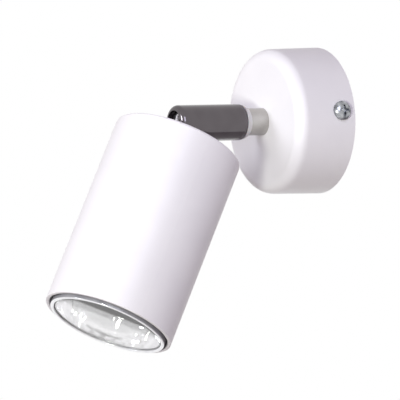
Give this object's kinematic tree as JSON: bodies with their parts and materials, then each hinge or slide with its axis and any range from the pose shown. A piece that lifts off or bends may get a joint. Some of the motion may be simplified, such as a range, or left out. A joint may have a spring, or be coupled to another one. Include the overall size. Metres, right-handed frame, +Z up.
{
  "type": "pivoting spotlight wall light",
  "caption": "Round white wall base with a swivelling dark arm and a tilting white cylinder spotlight holding a clear twist-lock reflector lamp.",
  "frame": {"origin": "centre of the base's back, on the wall", "axes": "-Y straight out from the wall along the arm, +Z up, and X along the line of the two cover screws"},
  "size_m": [0.0672, 0.1335, 0.1265],
  "materials": {
    "white_paint": "satin white powder coat",
    "black_chrome": "dark gunmetal plating, polished",
    "neck_grey": "pale grey satin paint",
    "pale_nylon": "pale moulded nylon",
    "screw_chrome": "bright plated",
    "zinc_steel": "bright zinc plated",
    "dark_zinc": "blackened zinc casting",
    "nickel_stem": "nickel plated",
    "brass": "turned brass",
    "tinned_tag": "tinned",
    "contact_metal": "nickel plated",
    "block_nylon": "natural nylon",
    "ceramic": "unglazed steatite",
    "lamp_mirror": "silvered glass bowl",
    "clear_glass": "clear glass",
    "tungsten": "drawn wire",
    "line_insulation": "brown silicone",
    "neutral_insulation": "blue silicone",
    "earth_insulation": "green and yellow silicone",
    "white_sleeve": "white heat-proof sleeve"
  },
  "bodies": {
    "base": {"wall_bracket": "zinc_steel", "base_cover": "white_paint", "cover_screws": "screw_chrome", "terminal_block": "block_nylon", "terminal_sleeves": "brass", "terminal_screws": "zinc_steel", "terminal_fixing_screw": "zinc_steel", "earth_screw": "brass", "earth_tag": "tinned_tag", "neck": "neck_grey", "neck_lock_nut": "brass", "neck_tooth_washer": "zinc_steel", "swivel_washer": "pale_nylon", "stop_washer": "zinc_steel", "swivel_disc_spring": "zinc_steel", "swivel_nut": "zinc_steel", "line_wire_in_base": "line_insulation", "neutral_wire_in_base": "neutral_insulation", "earth_wire_in_base": "earth_insulation"},
    "arm": {"arm_tube": "black_chrome", "swivel_bush": "brass", "stop_pin": "zinc_steel", "hinge_insert": "dark_zinc", "hinge_pin": "zinc_steel", "tilt_washers": "zinc_steel", "line_wire_in_arm": "line_insulation", "neutral_wire_in_arm": "neutral_insulation", "earth_wire_in_arm": "earth_insulation", "line_wire_at_hinge": "white_sleeve", "neutral_wire_at_hinge": "white_sleeve", "earth_wire_at_hinge": "white_sleeve"},
    "head": {"knuckle": "nickel_stem", "lamp_can": "white_paint", "can_nut": "brass", "can_tooth_washer": "zinc_steel", "holder_bracket": "zinc_steel", "holder_screws": "zinc_steel", "lampholder": "ceramic", "lamp_contacts": "contact_metal", "can_earth_screw": "zinc_steel", "can_earth_tag": "tinned_tag", "line_wire_in_can": "white_sleeve", "neutral_wire_in_can": "white_sleeve", "earth_wire_in_can": "white_sleeve"},
    "lamp": {"lamp_reflector": "lamp_mirror", "lamp_front_glass": "clear_glass", "lamp_capsule": "clear_glass", "lamp_filament": "tungsten", "lamp_base": "ceramic", "lamp_pins": "contact_metal"}
  },
  "joints": [
    {"name": "arm_swivel", "type": "hinge", "parent": "base", "child": "arm", "pos_m": [0, -0.041, 0], "axis": [0, 1, 0], "range_deg": [-165, 165]},
    {"name": "head_tilt", "type": "hinge", "parent": "arm", "child": "head", "pos_m": [0, -0.064, 0], "axis": [-1, 0, 0], "range_deg": [-29, 61], "deforming": ["line_wire_at_hinge", "neutral_wire_at_hinge", "earth_wire_at_hinge"]},
    {"name": "lamp_twist", "type": "hinge", "parent": "head", "child": "lamp", "pos_m": [0, -0.064, 0], "axis": [0, -0.4848, -0.8746], "range_deg": [0, 20]}
  ]
}
